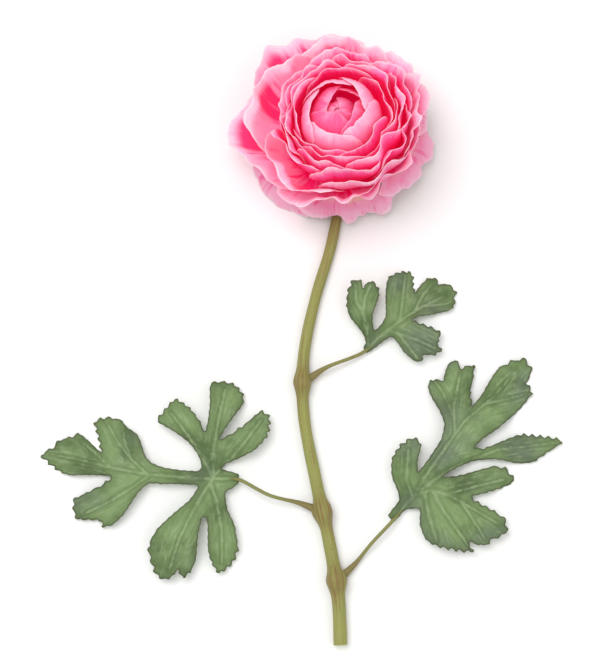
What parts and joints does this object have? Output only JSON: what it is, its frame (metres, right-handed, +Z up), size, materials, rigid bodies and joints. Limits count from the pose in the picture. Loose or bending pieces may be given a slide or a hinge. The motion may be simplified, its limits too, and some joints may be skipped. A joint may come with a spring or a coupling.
{
  "type": "ranunculus flower",
  "caption": "Picked double ranunculus flower lying on its side: layered ruffled pink petals round a closed heart, on a bent green stem with lobed, toothed leaves.",
  "frame": {"origin": "middle of the outline, on the surface that the flower lies on", "axes": "+Y along the stem towards the bloom, +Z up, the way the bloom faces, +X to the right of the stem"},
  "size_m": [0.2316, 0.2726, 0.059],
  "materials": {
    "receptacle": "matte green",
    "petal_heart": "soft matte pink",
    "petal_ring": "soft matte, hot pink with pale edges",
    "petal_outer": "soft matte pale pink",
    "sepal": "matte olive green",
    "stem": "satin yellow green with brown streaks",
    "leaf": "matte sage green"
  },
  "bodies": {
    "root": {"receptacle": "receptacle", "petal_heart_inner_a": "petal_heart", "petal_heart_inner_b": "petal_heart", "petal_heart_inner_c": "petal_heart", "petal_heart_middle_a": "petal_heart", "petal_heart_middle_b": "petal_heart", "petal_heart_middle_c": "petal_heart", "petal_heart_middle_d": "petal_heart", "petal_heart_outer_a": "petal_heart", "petal_heart_outer_b": "petal_heart", "petal_heart_outer_c": "petal_heart", "petal_heart_outer_d": "petal_heart", "petal_heart_outer_e": "petal_heart", "petal_ring_1_a": "petal_ring", "petal_ring_1_b": "petal_ring", "petal_ring_1_c": "petal_ring", "petal_ring_1_d": "petal_ring", "petal_ring_1_e": "petal_ring", "petal_ring_2_a": "petal_ring", "petal_ring_2_b": "petal_ring", "petal_ring_2_c": "petal_ring", "petal_ring_2_d": "petal_ring", "petal_ring_2_e": "petal_ring", "petal_ring_3_a": "petal_ring", "petal_ring_3_b": "petal_ring", "petal_ring_3_c": "petal_ring", "petal_ring_3_d": "petal_ring", "petal_ring_3_e": "petal_ring", "petal_ring_3_f": "petal_ring", "petal_ring_4_a": "petal_ring", "petal_ring_4_b": "petal_ring", "petal_ring_4_c": "petal_ring", "petal_ring_4_d": "petal_ring", "petal_ring_4_e": "petal_ring", "petal_ring_4_f": "petal_ring", "petal_ring_5_a": "petal_outer", "petal_ring_5_b": "petal_outer", "petal_ring_5_c": "petal_outer", "petal_ring_5_d": "petal_outer", "petal_ring_5_e": "petal_outer", "petal_ring_6_a": "petal_outer", "petal_ring_6_b": "petal_outer", "petal_ring_6_c": "petal_outer", "petal_ring_6_d": "petal_outer", "petal_ring_6_e": "petal_outer", "petal_skirt_a": "petal_outer", "petal_skirt_b": "petal_outer", "petal_skirt_c": "petal_outer", "petal_skirt_d": "petal_outer", "petal_skirt_e": "petal_outer", "sepal_a": "sepal", "sepal_b": "sepal", "sepal_c": "sepal", "sepal_d": "sepal", "sepal_e": "sepal", "stem": "stem", "leaf_left": "leaf", "leaf_right": "leaf", "leaf_upper": "leaf"}
  },
  "joints": []
}
